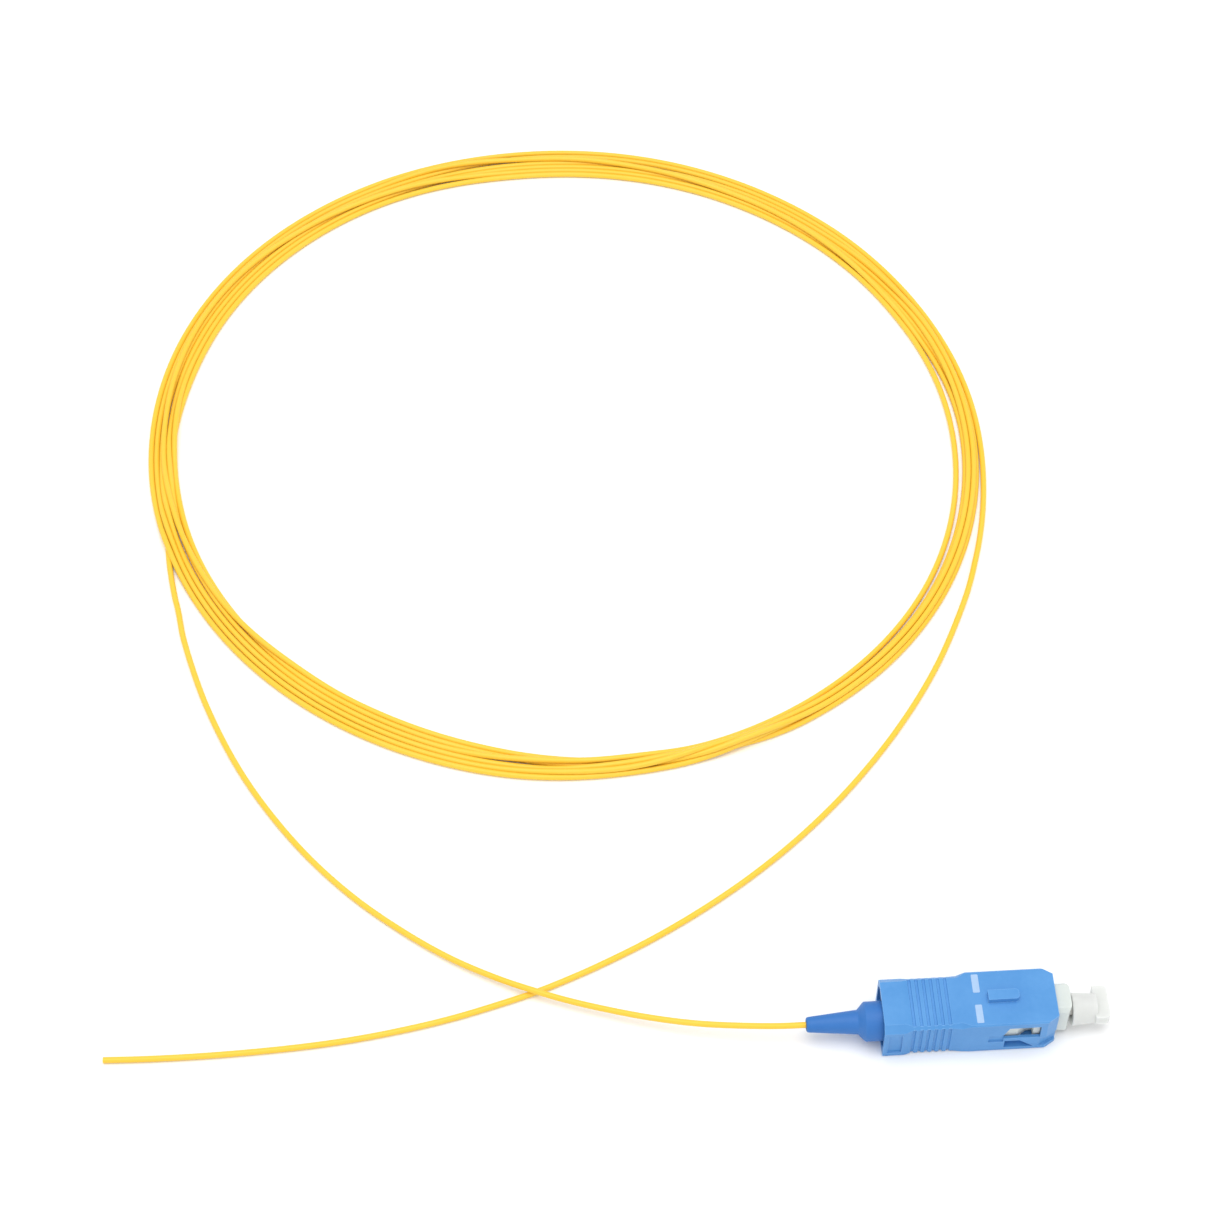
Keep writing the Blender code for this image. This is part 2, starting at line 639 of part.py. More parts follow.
def ferrule_flange():
    """A cup that the ferrule sits in, bored through for the fibre."""
    seat = FERRULE_DIAMETER / 2 + BORE_GAP
    floor = FERRULE_TIP - FERRULE_LENGTH - BORE_GAP
    return turned("ferrule_flange", [
        (FLANGE_FRONT, FLANGE_DIAMETER / 2),
        (FLANGE_REAR, FLANGE_DIAMETER / 2),
        (FLANGE_REAR, FIBRE_BORE / 2),
        (floor, FIBRE_BORE / 2),
        (floor, seat),
        (FLANGE_FRONT, seat),
    ], NICKEL)


def ferrule_spring():
    """A round-wire coil spring between the flange and the rear body."""
    radius = (FLANGE_DIAMETER - BORE_GAP - SPRING_WIRE) / 2
    start = SPRING_BACK + SPRING_WIRE / 2
    length = SPRING_FRONT - SPRING_BACK - SPRING_WIRE
    count = 14 * SPRING_TURNS
    curve = bpy.data.curves.new("ferrule_spring", "CURVE")
    curve.dimensions = "3D"
    curve.bevel_depth = SPRING_WIRE / 2
    curve.bevel_resolution = 1
    curve.use_fill_caps = True
    spline = curve.splines.new("POLY")
    spline.points.add(count)
    for i, point in enumerate(spline.points):
        angle = 2 * math.pi * SPRING_TURNS * i / count
        along = plug_x(start + length * i / count)
        point.co = (along, radius * math.cos(angle), radius * math.sin(angle), 1.0)
    curve.materials.append(SPRING_STEEL)
    thing = bpy.data.objects.new("ferrule_spring", curve)
    thing.location = (0, 0, AXIS_Z)
    PARTS.objects.link(thing)
    return thing


def rear_body():
    """The tube that closes the back of the frame: a stub in front, a flange, and the boot's tube behind."""
    stub = CHAMBER_DIAMETER / 2 - BORE_GAP
    flange = CHAMBER_DIAMETER / 2 + REAR_FLANGE_REACH
    tube = REAR_TUBE_DIAMETER / 2
    return turned("rear_body", [
        (REAR_STUB_FRONT, stub),
        (REAR_FLANGE_BACK + REAR_FLANGE, stub),
        (REAR_FLANGE_BACK + REAR_FLANGE, flange),
        (REAR_FLANGE_BACK, flange),
        (REAR_FLANGE_BACK, tube),
        (REAR_TUBE_BACK, tube),
        (REAR_TUBE_BACK, FIBRE_BORE / 2),
        (REAR_STUB_FRONT, FIBRE_BORE / 2),
    ], NICKEL)


def boot():
    """The strain relief: a collar inside the grip, a short cone, and a long taper to the tip."""
    taper_front = BOOT_BACK + BOOT_TAPER
    socket = REAR_TUBE_DIAMETER / 2 + BORE_GAP + BOOT_ASIDE
    socket_floor = REAR_TUBE_BACK - BORE_GAP
    tip = BOOT_TIP / 2
    return turned("boot", [
        (COLLAR_IN, COLLAR_DIAMETER / 2),
        (-COLLAR_SHOWN, COLLAR_DIAMETER / 2),
        (taper_front, BOOT_NECK / 2),
        (BOOT_BACK + BOOT_TIP_ROUND, tip + (BOOT_NECK / 2 - tip) * BOOT_TIP_ROUND / BOOT_TAPER),
        (BOOT_BACK, tip - BOOT_TIP_ROUND / 3),
        (BOOT_BACK, FIBRE_BORE / 2),
        (socket_floor, FIBRE_BORE / 2),
        (socket_floor, socket),
        (COLLAR_IN, socket),
    ], BOOT_BLUE, aside=BOOT_ASIDE)


def dust_cap():
    """A tube that pushes over the ferrule, with a flat grip plate on its closed end."""
    tube_front = CAP_BACK + CAP_TUBE_LENGTH
    end = tube_front + CAP_HEAD_OVERLAP
    outside = CAP_BORE / 2 + CAP_WALL
    cap = turned("dust_cap", [
        (end, 0),
        (end, outside - CAP_TAPER),
        (CAP_BACK, outside),
        (CAP_BACK, 0),
    ], CAP_CLEAR, aside=CAP_ASIDE, below=CAP_BELOW)
    half = CAP_HEAD_WIDTH / 2
    back = plug_x(tube_front)
    front = plug_x(CAP_FRONT)
    r = CAP_HEAD_ROUND
    outline = [(back, -half)]
    outline += corner_arc((front - r, -half + r), r, -90, 0)
    outline += corner_arc((front - r, half - r), r, 0, 90)
    outline += [(back, half)]
    head = flat_outline("cap_head", outline, CAP_HEAD_THICKNESS / 2, (0, 0, AXIS_Z), (0, 0, 0))
    boolean(cap, head, "UNION")
    bore = turned("cap_bore", [
        (FERRULE_TIP + CAP_TIP_GAP, 0),
        (FERRULE_TIP + CAP_TIP_GAP, CAP_BORE / 2),
        (CAP_BACK - BEYOND, CAP_BORE / 2),
        (CAP_BACK - BEYOND, 0),
    ])
    boolean(cap, bore, "DIFFERENCE")
    return cap


def smooth_route(route, count):
    """Evenly spaced points on a smooth curve through the route's own points."""
    points = np.array(route)
    ends = [2 * points[0] - points[1], 2 * points[-1] - points[-2]]
    padded = np.vstack([ends[0], points, ends[1]])
    dense = []
    for before, start, end, after in zip(padded, padded[1:], padded[2:], padded[3:]):
        knots = np.cumsum([0] + [np.linalg.norm(b - a) ** 0.5 for a, b in
                                 ((before, start), (start, end), (end, after))])
        leave = tangent(before, start, end, knots[0], knots[1], knots[2])
        arrive = tangent(start, end, after, knots[1], knots[2], knots[3])
        span = knots[2] - knots[1]
        for t in np.linspace(0, 1, 24, endpoint=False):
            dense.append(hermite(start, leave * span, end, arrive * span, t))
    dense.append(points[-1])
    dense = np.array(dense)
    run = np.concatenate([[0], np.cumsum(np.linalg.norm(np.diff(dense, axis=0), axis=1))])
    even = np.linspace(0, run[-1], count)
    return np.stack([np.interp(even, run, dense[:, axis]) for axis in range(3)], axis=1)


def tangent(before, here, after, t0, t1, t2):
    return (here - before) / (t1 - t0) - (after - before) / (t2 - t0) + (after - here) / (t2 - t1)


def hermite(start, leave, end, arrive, t):
    return (
        (2 * t**3 - 3 * t**2 + 1) * start
        + (t**3 - 2 * t**2 + t) * leave
        + (3 * t**2 - 2 * t**3) * end
        + (t**3 - t**2) * arrive
    )


def fibre_run(name, route, count):
    curve = bpy.data.curves.new(name, "CURVE")
    curve.dimensions = "3D"
    curve.bevel_depth = FIBRE_DIAMETER / 2
    curve.bevel_resolution = 2
    curve.use_fill_caps = True
    spline = curve.splines.new("POLY")
    points = smooth_route(route, count)
    spline.points.add(len(points) - 1)
    for point, co in zip(spline.points, points):
        point.co = (*co, 1.0)
    curve.materials.append(FIBRE_YELLOW)
    thing = bpy.data.objects.new(name, curve)
    PARTS.objects.link(thing)
    return thing


def fibre_coil():
    """The wound turns as one turned ring, its strands showing as ridges on top."""
    strand = FIBRE_DIAMETER / 2
    inner = COIL_OUTER - COIL_STRANDS * FIBRE_DIAMETER
    crown = COIL_HEIGHT + FLOOR_LIFT - strand
    profile = []
    for number in range(COIL_STRANDS):
        middle = inner + (2 * number + 1) * strand
        for degrees in (150, 110, 70, 30):
            angle = math.radians(degrees)
            profile.append((middle + strand * math.cos(angle), crown + strand * math.sin(angle)))
    profile += [
        (COIL_OUTER, crown),
        (COIL_OUTER, FLOOR_LIFT + strand),
        (COIL_OUTER - strand / 2, FLOOR_LIFT),
        (inner + strand / 2, FLOOR_LIFT),
        (inner, FLOOR_LIFT + strand),
        (inner, crown),
    ]
    mesh = bpy.data.meshes.new("fibre_coil")
    points = [(radius, 0.0, height) for radius, height in profile]
    edges = [(i, (i + 1) % len(points)) for i in range(len(points))]
    mesh.from_pydata(points, edges, [])
    ring = place("fibre_coil", mesh, FIBRE_YELLOW, (*COIL_CENTRE, 0), (0, 0, COIL_TURN))
    ring.scale = (COIL_OVAL, 1, 1)
    screw = ring.modifiers.new("Turn", "SCREW")
    screw.axis = "Z"
    screw.steps = COIL_ROUND
    screw.render_steps = COIL_ROUND
    screw.use_merge_vertices = True
    screw.merge_threshold = 1e-6
    screw.use_smooth_shade = True
    return ring


grip_housing()
plug_frame()
ferrule()
ferrule_flange()
ferrule_spring()
rear_body()
boot()
dust_cap()
fibre_run("fibre_lead", LEAD_ROUTE, LEAD_POINTS)
fibre_coil()
fibre_run("fibre_tail", TAIL_ROUTE, TAIL_POINTS)
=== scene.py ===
# %% [markdown]
# # A fibre optic pigtail, dressed in Blender
#
# A blue push-pull plug holds one end of a thin yellow fibre, which lies in a loose coil on a white
# table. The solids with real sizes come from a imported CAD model. This lesson puts the looks round
# them: the camera and the fibre first, then the moulded plug, its white inner frame, its boot and its
# dust cap, and last the light.

import json
import math

import bmesh
import bpy
import numpy as np
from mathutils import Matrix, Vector

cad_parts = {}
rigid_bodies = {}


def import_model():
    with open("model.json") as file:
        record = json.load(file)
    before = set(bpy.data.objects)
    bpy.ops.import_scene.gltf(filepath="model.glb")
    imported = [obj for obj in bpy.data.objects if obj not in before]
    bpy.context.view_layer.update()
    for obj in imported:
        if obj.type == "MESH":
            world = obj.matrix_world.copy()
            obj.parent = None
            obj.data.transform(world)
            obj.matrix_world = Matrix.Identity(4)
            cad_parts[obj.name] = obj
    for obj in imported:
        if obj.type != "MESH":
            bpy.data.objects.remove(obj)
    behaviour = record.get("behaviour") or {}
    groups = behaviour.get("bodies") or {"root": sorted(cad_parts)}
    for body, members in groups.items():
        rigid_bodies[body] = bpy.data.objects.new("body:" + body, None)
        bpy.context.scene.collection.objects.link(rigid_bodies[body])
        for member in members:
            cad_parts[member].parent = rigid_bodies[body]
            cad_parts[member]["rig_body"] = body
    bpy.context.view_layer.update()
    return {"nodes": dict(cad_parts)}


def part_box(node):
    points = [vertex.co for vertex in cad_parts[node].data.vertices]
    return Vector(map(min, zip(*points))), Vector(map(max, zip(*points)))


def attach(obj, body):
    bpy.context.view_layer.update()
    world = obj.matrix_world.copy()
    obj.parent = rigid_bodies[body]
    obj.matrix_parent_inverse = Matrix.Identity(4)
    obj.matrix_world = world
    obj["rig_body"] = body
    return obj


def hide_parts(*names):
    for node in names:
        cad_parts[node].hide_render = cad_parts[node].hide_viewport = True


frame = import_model()
nodes = frame["nodes"]
print("CAD nodes:", ", ".join(sorted(nodes)))

# %% [markdown]
# ## The camera
#
# A product photograph of something this small is taken from about half a metre with a long lens, so
# it has little perspective. The camera stands level to the left and right, and looks down at the
# table. Its place and lens were fitted to the plug's known length, width and height in the picture,
# and to the coil's round edge.

# %% Place the camera
MM = 0.001
LENS = 94.9                                  # in mm, as the sensor's width is
SENSOR_WIDTH = 36.0
CAMERA_PLACE = (-64.02 * MM, -222.38 * MM, 409.0 * MM)
LOOK_DOWN = math.radians(53.65)
LOOK_RIGHT = math.radians(3.5)

camera_data = bpy.data.cameras.new("camera")
camera_data.lens = LENS
camera_data.sensor_width = SENSOR_WIDTH
camera = bpy.data.objects.new("camera", camera_data)
camera.location = CAMERA_PLACE
camera.rotation_euler = (math.pi / 2 - LOOK_DOWN, 0, -LOOK_RIGHT)
bpy.context.scene.collection.objects.link(camera)
bpy.context.scene.camera = camera
bpy.context.scene.view_settings.view_transform = "Standard"
print("camera stands", round(camera.location.z * 1000), "mm above the table")

# %% [markdown]
# ## The fibre's route
#
# The fibre is one cord 0.9 mm thick. It leaves the boot, sinks to the table over its own tail, and
# winds clockwise about six and a half times before it runs out to its cut end. The two runs outside
# the coil are listed points. The turns are described by how far each pass over an angle lies
# from the coil's middle.

# %% The runs before and after the coil
DIAMETER = 0.9 * MM
TABLE_AIR = 0.02 * MM                        # under a strand that lies flat
CROSSING_AIR = 0.3 * MM                      # between the lead and the tail where they cross
ON_TABLE = DIAMETER / 2 + TABLE_AIR
CROSSING = ON_TABLE + DIAMETER + CROSSING_AIR
EXIT = (-0.02185, -0.0007, 0.0037)

lead_run = [
    EXIT,
    (-0.0250, -0.0006, 0.00355),
    (-0.0290, -0.0002, 0.00325),
    (-0.0370, 0.0010, 0.00265),
    (-0.0440, 0.0027, 0.00215),
    (-0.0511, 0.0049, 0.00180),
    (-0.0568, 0.0069, CROSSING),
    (-0.0609, 0.0086, CROSSING),
    (-0.0654, 0.0108, 0.00135),
    (-0.0726, 0.0151, 0.00085),
    (-0.0799, 0.0206, 0.00058),
    (-0.0872, 0.0272, ON_TABLE),
    (-0.0949, 0.0362, ON_TABLE),
    (-0.1028, 0.0487, ON_TABLE),
    (-0.1088, 0.0625, ON_TABLE),
    (-0.1125, 0.0753, ON_TABLE),
]
tail_run = [
    (0.0112, 0.0759, ON_TABLE),
    (0.0053, 0.0635, ON_TABLE),
    (-0.0021, 0.0520, ON_TABLE),
    (-0.0108, 0.0414, ON_TABLE),
    (-0.0192, 0.0331, ON_TABLE),
    (-0.0273, 0.0265, ON_TABLE),
    (-0.0352, 0.0211, ON_TABLE),
    (-0.0429, 0.0166, ON_TABLE),
    (-0.0506, 0.0128, ON_TABLE),
    (-0.0552, 0.0108, ON_TABLE),
    (-0.0601, 0.0089, ON_TABLE),
    (-0.0655, 0.0072, ON_TABLE),
    (-0.0728, 0.0052, ON_TABLE),
    (-0.0801, 0.0037, ON_TABLE),
    (-0.0873, 0.0026, ON_TABLE),
    (-0.0946, 0.0019, ON_TABLE),
    (-0.1018, 0.0015, ON_TABLE),
    (-0.1089, 0.0013, ON_TABLE),
    (-0.1161, 0.0013, ON_TABLE),
    (-0.1228, 0.0015, ON_TABLE),
]
print(len(lead_run), "points before the coil and", len(tail_run), "after it")

# %% [markdown]
# ## How the turns lie
#
# Hand-wound turns aren't a neat spiral. The lead dives under the whole bundle to its inner side, each
# turn wanders across the others, and where the bundle is pinched some turns ride on top. So each pass
# has a wished-for radius at twelve places round the coil, and a rank that says which strand lies over
# which. A small solver then lets the strands push each other apart and sink to the table.

# %% Where each pass would like to lie
COIL_CENTRE = np.array([-50.6, 111.5])
STATION = 30                                 # degrees between the columns, clockwise from the left
# radius in mm, one row for each pass, first wound first
PASSES = [
    [64.4, 64.15, 63.15, 61.1, 61.35, 62.35, 64.0, 64.95, 64.15, 63.2, 62.65, 63.6],
    [65.0, 65.9, 64.95, 63.7, 64.15, 65.0, 67.0, 67.5, 66.3, 63.65, 61.65, 62.65],
    [64.15, 65.0, 64.05, 62.7, 63.2, 64.45, 66.15, 66.65, 65.45, 65.0, 64.6, 65.5],
    [66.95, 67.7, 66.75, 64.3, 62.7, 62.85, 65.75, 66.25, 65.05, 64.55, 63.6, 64.55],
    [66.1, 66.75, 65.85, 65.3, 65.1, 65.5, 67.4, 67.95, 66.7, 62.75, 60.7, 63.1],
    [65.5, 67.25, 64.5, 61.95, 62.25, 63.4, 66.55, 67.1, 65.9, 65.45, 65.55, 66.45],
    [67.8, 68.6, 67.65, 66.3, 66.05, 66.6, 68.2],
]
# the strand with the higher rank lies on top
RANKS = [
    [-2, 0, 0, 0, 0, 0, 0, 0, 0, 2, 0, 0],
    [0, 0, 0, 0, 1, 3, 3, 3, 3, -1, 0, 0],
    [1, 0, 1, 1, 1, 1, 3, 3, 3, 3, 1, 1],
    [2, 2, 2, 3, 3, 3, 1, 1, 1, 1, 1, 1],
    [0, 0, 1, 2, 2, 2, 0, 0, 0, -2, 1, 3],
    [4, 4, 4, 2, 1, 0, 0, 0, 1, 0, 2, 2],
    [3, 1, 1, 2, 2, 2, 1],
]
# how the lead comes in and how the tail goes out, as (degrees, radius)
COMING_IN = [(-25, 69.55), (-20, 68.1), (-15, 66.8), (-10, 65.7), (-5, 64.9)]
GOING_OUT = [(190, 68.75), (200, 69.75)]
print(len(PASSES), "passes over the coil's left side")

# %% A curve through the wished-for values


def between(t, start, leave, end, arrive):
    """The cubic from start to end with the given slopes at its ends, for t from 0 to 1."""
    return (
        (2 * t**3 - 3 * t**2 + 1) * start + (t**3 - 2 * t**2 + t) * leave
        + (3 * t**2 - 2 * t**3) * end + (t**3 - t**2) * arrive
    )


def smooth_through(knots, values, places):
    """A curve without overshoot through (knots, values), read at places."""
    x, y = np.array(knots, float), np.array(values, float)
    slope = np.diff(y) / np.diff(x)
    m = np.zeros(len(y))
    m[0], m[-1] = slope[0], slope[-1]
    same = slope[:-1] * slope[1:] > 0
    m[1:-1][same] = 2 / (1 / slope[:-1][same] + 1 / slope[1:][same])
    i = np.clip(np.searchsorted(x, places, "right") - 1, 0, len(x) - 2)
    h = x[i + 1] - x[i]
    return between((places - x[i]) / h, y[i], h * m[i], y[i + 1], h * m[i + 1])


# %% The winding as it is wished for
STEP = 2                                     # degrees between places along the fibre
PER_TURN = 360 // STEP
D = DIAMETER / MM


def polar(points):
    """Distance and clockwise angle from 180 degrees, of points in metres round the coil's middle."""
    xy = np.array(points)[:, :2] / MM - COIL_CENTRE
    return np.hypot(xy[:, 0], xy[:, 1]), 180 - np.degrees(np.arctan2(xy[:, 1], xy[:, 0]))


def wished_winding():
    """The places along the winding, and the wished-for radius and rank at each."""
    last_turn = 360 * (len(PASSES) - 1)
    lead_r, lead_a = polar(lead_run[-1:])
    tail_r, tail_a = polar(tail_run[:1])
    start, stop = lead_a[0] - 360, last_turn + tail_a[0]
    first_rank, last_rank = RANKS[0][0], RANKS[-1][-1]
    knots = [(start, lead_r[0], first_rank)]
    knots += [(place, radius, first_rank) for place, radius in COMING_IN]
    for number, (radii, ranks) in enumerate(zip(PASSES, RANKS)):
        knots += [(360 * number + STATION * i, *pair) for i, pair in enumerate(zip(radii, ranks))]
    knots += [(last_turn + place, radius, last_rank) for place, radius in GOING_OUT]
    knots.append((stop, tail_r[0], last_rank))
    at, radii, ranks = zip(*knots)
    places = np.arange(math.ceil(start / STEP) * STEP, stop, STEP)
    return places, smooth_through(at, radii, places), smooth_through(at, ranks, places)


# %% [markdown]
# ## How the strands settle
#
# Each round draws every strand a little towards its wished-for radius and lets it sink. Two strands
# that come closer than their thickness push each other apart, and where one crosses the other, the
# one with the higher rank is lifted. A little smoothing after each round stands for the fibre's
# stiffness. What is left is an overlap of about a tenth of a millimetre at the tightest crossings.

# %% Let the strands settle
ROUNDS = 2000
PULL = 0.08                                  # share of the way to the wished-for radius, each round
LEAST_PULL = 0.25                            # share of that pull which stays to the end
SINK = 0.010                                 # mm, each round
RANK_LIFT = 0.5                              # diameters that a rank adds to a strand's first height
APART = 1.003                                # diameters between two strands that touch
CROSSING_REACH = 0.4                         # closer sideways than this, in diameters, is a crossing
SIDEWAYS = 0.15                              # how far a push at a crossing goes sideways
LEAST_LIFT = 0.15                            # how far a push goes up elsewhere, at least
PRESS = 0.3                                  # share of a lift that presses the lower strand down
STIFF_SIDEWAYS, STIFF_UPWARDS = 0.35, 0.30   # share of the way to the neighbours' middle, each round
HELD = 3                                     # places at each end that stay as wished
TINY = 1e-6                                  # keeps a division from zero


def settle(wished, ranks):
    """Pushes the strands apart where they overlap, and lets them sink onto the table."""
    r = wished.copy()
    z = D / 2 + RANK_LIFT * D * (ranks - ranks.min())
    for round_ in range(ROUNDS):
        r += PULL * (wished - r) * max(1 - round_ / ROUNDS, LEAST_PULL)
        z -= SINK
        for turns_apart in range(1, len(PASSES)):
            k = turns_apart * PER_TURN
            dr = r[k:] - r[:-k]
            over = np.where(ranks[k:] >= ranks[:-k], 1.0, -1.0)
            dz = over * (z[k:] - z[:-k])
            gap = np.hypot(dr, dz)
            push = np.clip(D * APART - gap, 0, None) / 2
            crossing = np.abs(dr) < CROSSING_REACH * D
            nr = np.where(crossing, SIDEWAYS * np.sign(dr), dr / np.maximum(gap, TINY))
            nz = np.where(crossing, 1.0, np.clip(dz / np.maximum(gap, TINY), LEAST_LIFT, 1))
            r[k:] += push / 2 * nr
            r[:-k] -= push / 2 * nr
            z[k:] += push * nz * np.where(over > 0, 1.0, -PRESS)
            z[:-k] += push * nz * np.where(over > 0, -PRESS, 1.0)
        for values, stiff in ((r, STIFF_SIDEWAYS), (z, STIFF_UPWARDS)):
            middle = (values[:-2] + values[2:]) / 2
            values[1:-1] += stiff * (middle - values[1:-1])
        z = np.maximum(z, ON_TABLE / MM)
        r[:HELD], r[-HELD:] = wished[:HELD], wished[-HELD:]
    return r, z


places, wished, ranks = wished_winding()
radius, height = settle(wished, ranks)
angles = np.radians(180 - places)
winding = np.stack([
    (COIL_CENTRE[0] + radius * np.cos(angles)) * MM,
    (COIL_CENTRE[1] + radius * np.sin(angles)) * MM,
    height * MM,
], axis=1)
print(f"{len(places) / PER_TURN:.2f} turns, up to {1000 * winding[:, 2].max() + D / 2:.2f} mm high")

# %% [markdown]
# ## One smooth centre line
#
# The listed runs and the settled winding are joined into one line. A Catmull-Rom curve passes
# through every point and keeps its bends soft, and it is read again at even steps, so that the tube
# round it has rings of one length.

# %% Join the runs and the winding
RING_SPACING = 1.6 * MM                      # between two rings of the tube
SAMPLES = 3                                  # points for each ring, before they are spaced evenly
NEVER_ZERO = 1e-9


def smooth_line(points, step):
    """Evenly spaced points on a centripetal Catmull-Rom curve through the given points."""
    points = np.array(points, float)
    padded = np.vstack([2 * points[0] - points[1], points, 2 * points[-1] - points[-2]])
    dense = []
    for a, b, c, d in zip(padded, padded[1:], padded[2:], padded[3:]):
        t0, t1, t2 = (max(np.linalg.norm(q - p), NEVER_ZERO) ** 0.5 for p, q in ((a, b), (b, c), (c, d)))
        leave = ((b - a) / t0 - (c - a) / (t0 + t1) + (c - b) / t1) * t1
        arrive = ((c - b) / t1 - (d - b) / (t1 + t2) + (d - c) / t2) * t1
        count = max(2, int(np.linalg.norm(c - b) / step * SAMPLES))
        dense += [between(t, b, leave, c, arrive) for t in np.linspace(0, 1, count, endpoint=False)]
    dense = np.array(dense + [points[-1]])
    run = np.concatenate([[0], np.cumsum(np.linalg.norm(np.diff(dense, axis=0), axis=1))])
    even = np.linspace(0, run[-1], int(run[-1] / step) + 1)
    return np.stack([np.interp(even, run, dense[:, axis]) for axis in range(3)], axis=1), run[-1]


route = np.vstack([lead_run, winding[1:-1], tail_run])
centre_line, FIBRE_LENGTH = smooth_line(route, RING_SPACING)
print(f"the fibre is {FIBRE_LENGTH:.3f} m long, in {len(centre_line)} points")

# %% [markdown]
# ## The fibre's tube
#
# Geometry Nodes turn the centre line into a tube: a round profile is swept along the curve, and its
# ends are closed. The result is made a plain mesh, and the modifier goes.

# %% A node tree that sweeps a round profile
TUBE_SIDES = 12


def add_socket(tree, name, kind, direction="INPUT", value=None):
    socket = tree.interface.new_socket(name=name, in_out=direction, socket_type=kind)
    if value is not None:
        socket.default_value = value
    return socket


def sweep_tree():
    """Sweeps a circle along the curve that it is given, and closes the tube's ends."""
    tree = bpy.data.node_groups.new("sweep_round", "GeometryNodeTree")
    add_socket(tree, "Curve", "NodeSocketGeometry")
    add_socket(tree, "Radius", "NodeSocketFloat", value=DIAMETER / 2)
    add_socket(tree, "Sides", "NodeSocketInt", value=TUBE_SIDES)
    add_socket(tree, "Material", "NodeSocketMaterial")
    add_socket(tree, "Tube", "NodeSocketGeometry", "OUTPUT")
    new, link = tree.nodes.new, tree.links.new
    enter, leave = new("NodeGroupInput"), new("NodeGroupOutput")
    circle, sweep = new("GeometryNodeCurvePrimitiveCircle"), new("GeometryNodeCurveToMesh")
    smooth, realize = new("GeometryNodeSetShadeSmooth"), new("GeometryNodeRealizeInstances")
    paint = new("GeometryNodeSetMaterial")
    sweep.inputs["Fill Caps"].default_value = True
    link(enter.outputs["Sides"], circle.inputs["Resolution"])
    link(enter.outputs["Radius"], circle.inputs["Radius"])
    link(enter.outputs["Curve"], sweep.inputs["Curve"])
    link(circle.outputs["Curve"], sweep.inputs["Profile Curve"])
    link(sweep.outputs["Mesh"], smooth.inputs["Geometry"])
    link(smooth.outputs["Geometry"], realize.inputs["Geometry"])
    link(realize.outputs["Geometry"], paint.inputs["Geometry"])
    link(enter.outputs["Material"], paint.inputs["Material"])
    link(paint.outputs["Geometry"], leave.inputs["Tube"])
    return tree


def set_inputs(modifier, **values):
    """Sets a Geometry Nodes modifier's inputs by the sockets' identifiers."""
    for item in modifier.node_group.interface.items_tree:
        if item.item_type == "SOCKET" and item.in_out == "INPUT" and item.name in values:
            modifier[item.identifier] = values[item.name]


def made_plain(thing, name):
    """The evaluated mesh of an object, as a new object without modifiers. The first one goes."""
    bpy.context.view_layer.update()
    evaluated = thing.evaluated_get(bpy.context.evaluated_depsgraph_get())
    mesh = bpy.data.meshes.new_from_object(evaluated)
    data = thing.data
    bpy.data.objects.remove(thing, do_unlink=True)
    if data.users == 0:
        (bpy.data.curves if isinstance(data, bpy.types.Curve) else bpy.data.meshes).remove(data)
    mesh.name = name
    plain = bpy.data.objects.new(name, mesh)
    bpy.context.scene.collection.objects.link(plain)
    return plain


def triangles(thing):
    return sum(len(face.vertices) - 2 for face in thing.data.polygons)


round_sweep = sweep_tree()
print("node tree:", round_sweep.name)

# %% [markdown]
# ## Shader groups that several finishes share
#
# Moulded plastic is never one flat colour: it has a fine grain from the mould and faint clouds where the
# melt flowed. On some pieces a paler colour is also painted along the edges as a highlight. One group
# makes the clouds, one makes the grain's height and roughness, and one finds the edges for the painted
# highlight. Each material uses them with its own values.

# %% A group for the clouds
FINE_CLOUDS = 9.0                            # how much finer the second noise is
FINE_SHARE = 0.35                            # and how much it counts
CLOUD_SHIFT = 0.17                           # brings the middle of the two noises back to a half


def shader_group(name, inputs, outputs):
    group = bpy.data.node_groups.new(name, "ShaderNodeTree")
    for label, kind, value in inputs:
        add_socket(group, label, kind, value=value)
    for label, kind in outputs:
        add_socket(group, label, kind, "OUTPUT")
    return group, group.nodes.new("NodeGroupInput"), group.nodes.new("NodeGroupOutput")


